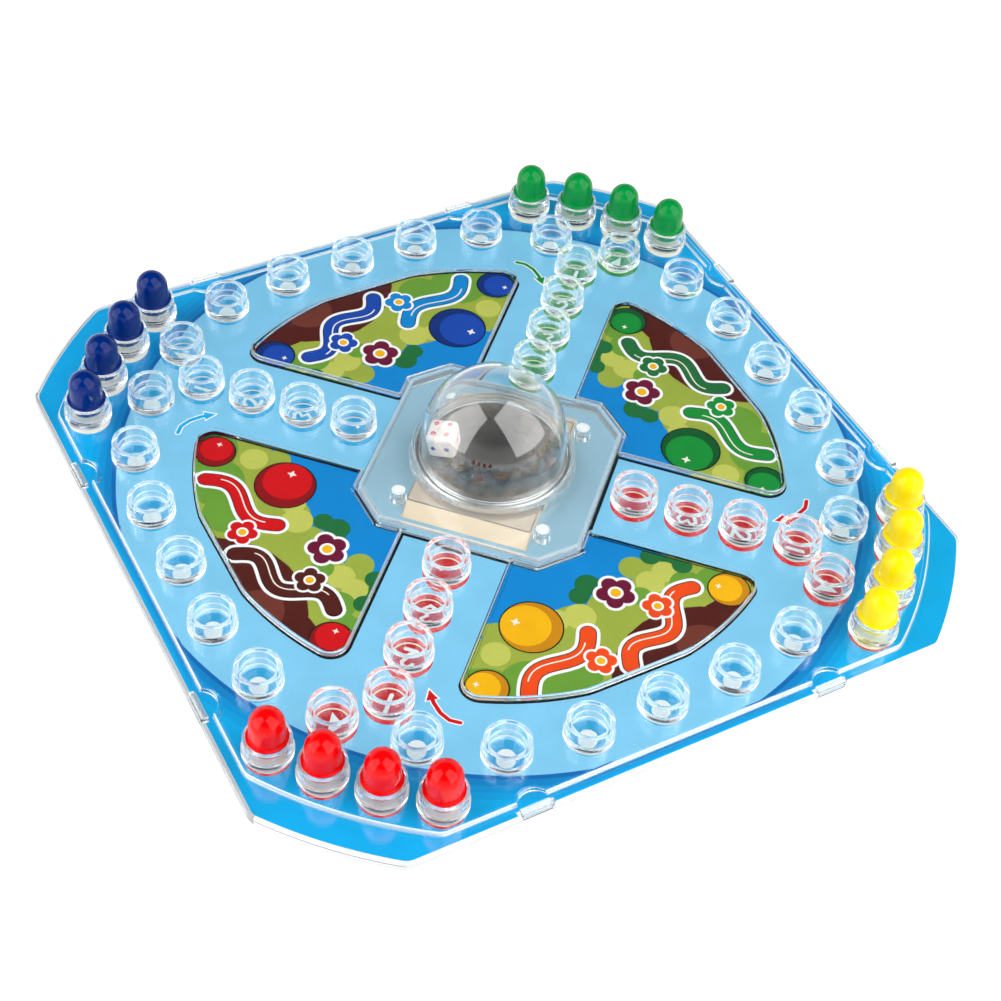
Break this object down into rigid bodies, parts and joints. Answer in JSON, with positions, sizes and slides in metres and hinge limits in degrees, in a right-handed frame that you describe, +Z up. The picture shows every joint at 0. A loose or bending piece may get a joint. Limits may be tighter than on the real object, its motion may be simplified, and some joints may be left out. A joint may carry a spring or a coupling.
{
  "type": "flying chess board game",
  "caption": "Square pegged race board with cut corners, clear cover with raised peg cups, and a sprung clear dome in the middle that throws a die",
  "frame": {"origin": "middle of the tray's underside", "axes": "+Z up; players sit on the diagonals, blue at -X +Y, green at +X +Y, yellow at +X -Y, red at -X -Y; flat sides face +-X and +-Y"},
  "size_m": [0.2692, 0.2692, 0.0451],
  "materials": {
    "clear_tray": "clear polystyrene, smooth",
    "printed_card": "printed light blue, satin",
    "clear_plastic": "clear polystyrene, polished",
    "clear_dome": "clear polystyrene, polished",
    "disc_steel": "polished spring steel",
    "cream_plastic": "cream moulded plastic",
    "die_white": "white with red and blue pips",
    "peg_blue": "glossy",
    "peg_green": "glossy",
    "peg_yellow": "glossy",
    "peg_red": "glossy"
  },
  "bodies": {
    "board": {"base_tray": "clear_tray", "game_card": "printed_card", "top_cover": "clear_plastic", "track_sockets_1": "clear_plastic", "track_sockets_2": "clear_plastic", "track_sockets_3": "clear_plastic", "track_sockets_4": "clear_plastic", "home_sockets_blue": "clear_plastic", "home_sockets_green": "clear_plastic", "home_sockets_yellow": "clear_plastic", "home_sockets_red": "clear_plastic", "start_sockets_blue": "clear_plastic", "start_sockets_green": "clear_plastic", "start_sockets_yellow": "clear_plastic", "start_sockets_red": "clear_plastic", "dome_housing": "clear_plastic", "click_disc": "disc_steel", "spring_block": "cream_plastic"},
    "dome": {"dome": "clear_dome"},
    "die": {"die": "die_white"},
    "blue_peg_1": {"blue_peg_1": "peg_blue"},
    "blue_peg_2": {"blue_peg_2": "peg_blue"},
    "blue_peg_3": {"blue_peg_3": "peg_blue"},
    "blue_peg_4": {"blue_peg_4": "peg_blue"},
    "green_peg_1": {"green_peg_1": "peg_green"},
    "green_peg_2": {"green_peg_2": "peg_green"},
    "green_peg_3": {"green_peg_3": "peg_green"},
    "green_peg_4": {"green_peg_4": "peg_green"},
    "yellow_peg_1": {"yellow_peg_1": "peg_yellow"},
    "yellow_peg_2": {"yellow_peg_2": "peg_yellow"},
    "yellow_peg_3": {"yellow_peg_3": "peg_yellow"},
    "yellow_peg_4": {"yellow_peg_4": "peg_yellow"},
    "red_peg_1": {"red_peg_1": "peg_red"},
    "red_peg_2": {"red_peg_2": "peg_red"},
    "red_peg_3": {"red_peg_3": "peg_red"},
    "red_peg_4": {"red_peg_4": "peg_red"}
  },
  "joints": [
    {"name": "dome_press", "type": "slide", "parent": "board", "child": "dome", "axis": [0, 0, -1], "range_m": [0, 0.0025], "stiffness_N_per_m": 600, "springref_m": -0.001, "deforming": ["click_disc"]},
    {"name": "die_throw", "type": "slide", "parent": "board", "child": "die", "axis": [0.546, -0.2488, 0.8], "range_m": [0, 0.014]},
    {"name": "blue_peg_1_lift", "type": "slide", "parent": "board", "child": "blue_peg_1", "axis": [0, 0, 1], "range_m": [0, 0.012]},
    {"name": "blue_peg_2_lift", "type": "slide", "parent": "board", "child": "blue_peg_2", "axis": [0, 0, 1], "range_m": [0, 0.012]},
    {"name": "blue_peg_3_lift", "type": "slide", "parent": "board", "child": "blue_peg_3", "axis": [0, 0, 1], "range_m": [0, 0.012]},
    {"name": "blue_peg_4_lift", "type": "slide", "parent": "board", "child": "blue_peg_4", "axis": [0, 0, 1], "range_m": [0, 0.012]},
    {"name": "green_peg_1_lift", "type": "slide", "parent": "board", "child": "green_peg_1", "axis": [0, 0, 1], "range_m": [0, 0.012]},
    {"name": "green_peg_2_lift", "type": "slide", "parent": "board", "child": "green_peg_2", "axis": [0, 0, 1], "range_m": [0, 0.012]},
    {"name": "green_peg_3_lift", "type": "slide", "parent": "board", "child": "green_peg_3", "axis": [0, 0, 1], "range_m": [0, 0.012]},
    {"name": "green_peg_4_lift", "type": "slide", "parent": "board", "child": "green_peg_4", "axis": [0, 0, 1], "range_m": [0, 0.012]},
    {"name": "yellow_peg_1_lift", "type": "slide", "parent": "board", "child": "yellow_peg_1", "axis": [0, 0, 1], "range_m": [0, 0.012]},
    {"name": "yellow_peg_2_lift", "type": "slide", "parent": "board", "child": "yellow_peg_2", "axis": [0, 0, 1], "range_m": [0, 0.012]},
    {"name": "yellow_peg_3_lift", "type": "slide", "parent": "board", "child": "yellow_peg_3", "axis": [0, 0, 1], "range_m": [0, 0.012]},
    {"name": "yellow_peg_4_lift", "type": "slide", "parent": "board", "child": "yellow_peg_4", "axis": [0, 0, 1], "range_m": [0, 0.012]},
    {"name": "red_peg_1_lift", "type": "slide", "parent": "board", "child": "red_peg_1", "axis": [0, 0, 1], "range_m": [0, 0.012]},
    {"name": "red_peg_2_lift", "type": "slide", "parent": "board", "child": "red_peg_2", "axis": [0, 0, 1], "range_m": [0, 0.012]},
    {"name": "red_peg_3_lift", "type": "slide", "parent": "board", "child": "red_peg_3", "axis": [0, 0, 1], "range_m": [0, 0.012]},
    {"name": "red_peg_4_lift", "type": "slide", "parent": "board", "child": "red_peg_4", "axis": [0, 0, 1], "range_m": [0, 0.012]}
  ]
}
